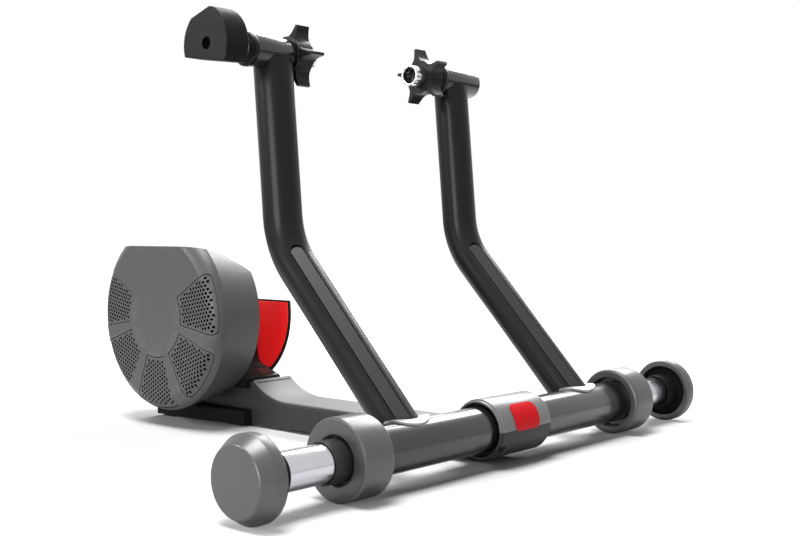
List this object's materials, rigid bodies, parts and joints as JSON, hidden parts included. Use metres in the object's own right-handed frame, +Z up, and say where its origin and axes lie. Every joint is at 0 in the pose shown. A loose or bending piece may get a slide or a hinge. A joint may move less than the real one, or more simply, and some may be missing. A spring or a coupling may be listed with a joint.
{
  "type": "wheel-on bicycle trainer",
  "caption": "Folding wheel-on bicycle trainer: two bent uprights with axle clamps on a cross tube, sliding legs, and an arm to a drum-shaped resistance unit with its roller.",
  "frame": {"origin": "on the floor, in the middle of the footprint's bounding box", "axes": "+X across the trainer to the right of a person who faces it from the front, +Y back from the cross tube to the roller unit, +Z up"},
  "size_m": [0.714, 0.5882, 0.4541],
  "materials": {
    "charcoal_paint": "gloss charcoal paint",
    "black_paint": "gloss black paint",
    "ring_rubber": "satin mid grey",
    "grey_moulding": "fine matte grey",
    "dark_moulding": "matte dark grey",
    "black_moulding": "matte black",
    "dark_casting": "dark grey coated casting",
    "black_rubber": "matte black",
    "chrome": "polished",
    "satin_silver": "satin silver",
    "red_gloss": "gloss red",
    "steel": "turned steel",
    "cast_iron": "machined casting",
    "copper": "enamelled copper winding",
    "board": "green lacquer"
  },
  "bodies": {
    "base": {"arm_body": "dark_casting", "collar_cap": "grey_moulding", "collar_bush": "black_rubber", "collar_badge": "red_gloss", "collar_screw": "steel", "arm_cover": "satin_silver", "arm_foot": "black_moulding", "front_foot_pad": "black_rubber", "rear_foot_pad": "black_rubber", "unit_carrier": "dark_casting", "toe_plate": "satin_silver", "left_bearing": "steel", "right_bearing": "steel", "guard_plate": "dark_moulding", "guard_panel": "red_gloss", "drum_cover": "grey_moulding", "vent_grille_1": "grey_moulding", "vent_grille_2": "grey_moulding", "vent_grille_3": "grey_moulding", "vent_grille_4": "grey_moulding", "vent_grille_5": "grey_moulding", "drum_back_plate": "black_moulding", "circuit_board": "board", "stator_core": "cast_iron", "brake_coil": "copper"},
    "roller": {"roller": "steel", "roller_shaft": "steel", "flywheel": "cast_iron"},
    "frame": {"cross_tube": "charcoal_paint", "left_end_ring": "ring_rubber", "left_leg_bush": "dark_moulding", "left_upright": "black_paint", "left_upright_trim": "dark_moulding", "left_foot_saddle": "satin_silver", "left_clamp_sleeve": "charcoal_paint", "left_clamp_washer": "black_moulding", "right_end_ring": "ring_rubber", "right_leg_bush": "dark_moulding", "right_upright": "black_paint", "right_upright_trim": "dark_moulding", "right_foot_saddle": "satin_silver", "right_clamp_sleeve": "charcoal_paint", "right_clamp_washer": "black_moulding", "left_end_collar": "black_moulding"},
    "left_leg": {"left_leg_tube": "chrome", "left_foot_cap": "ring_rubber"},
    "right_leg": {"right_leg_tube": "chrome", "right_foot_cap": "ring_rubber"},
    "lock_handle": {"handle_shaft": "satin_silver", "clamp_handle": "dark_moulding"},
    "left_axle_spindle": {"left_spindle": "chrome"},
    "left_knob": {"left_lock_knob": "black_moulding"},
    "right_axle_spindle": {"right_spindle": "chrome"},
    "right_knob": {"right_adjust_knob": "black_moulding"},
    "right_locknut": {"right_lock_ring": "black_moulding"}
  },
  "joints": [
    {"name": "roller_spin", "type": "hinge", "parent": "base", "child": "roller", "pos_m": [0, 0.1801, 0.1325], "axis": [1, 0, 0], "continuous": true},
    {"name": "frame_fold", "type": "hinge", "parent": "base", "child": "frame", "pos_m": [0, -0.2566, 0.0375], "axis": [1, 0, 0], "range_deg": [-28, 90]},
    {"name": "left_leg_slide", "type": "slide", "parent": "frame", "child": "left_leg", "axis": [-1, 0, 0], "range_m": [-0.05, 0.02]},
    {"name": "right_leg_slide", "type": "slide", "parent": "frame", "child": "right_leg", "axis": [1, 0, 0], "range_m": [-0.05, 0.02]},
    {"name": "handle_turn", "type": "hinge", "parent": "frame", "child": "lock_handle", "pos_m": [0, -0.06803, 0.41875], "axis": [1, 0, 0], "range_deg": [0, 180]},
    {"name": "left_spindle_slide", "type": "slide", "parent": "frame", "child": "left_axle_spindle", "axis": [1, 0, 0], "range_m": [0, 0.008]},
    {"name": "left_knob_turn", "type": "hinge", "parent": "left_axle_spindle", "child": "left_knob", "pos_m": [0, -0.06803, 0.41875], "axis": [1, 0, 0], "range_deg": [-360, 360]},
    {"name": "right_spindle_slide", "type": "slide", "parent": "frame", "child": "right_axle_spindle", "axis": [-1, 0, 0], "range_m": [0, 0.012]},
    {"name": "right_knob_turn", "type": "hinge", "parent": "right_axle_spindle", "child": "right_knob", "pos_m": [0, -0.06803, 0.41875], "axis": [1, 0, 0], "range_deg": [0, 1440]},
    {"name": "right_locknut_turn", "type": "hinge", "parent": "frame", "child": "right_locknut", "pos_m": [0, -0.06803, 0.41875], "axis": [1, 0, 0], "range_deg": [-90, 360]}
  ],
  "couplings": [
    {"joint": "left_spindle_slide", "follows": "handle_turn", "m_per_rad": 0.0025464},
    {"joint": "right_spindle_slide", "follows": "right_knob_turn", "m_per_rad": 0.00047746}
  ]
}
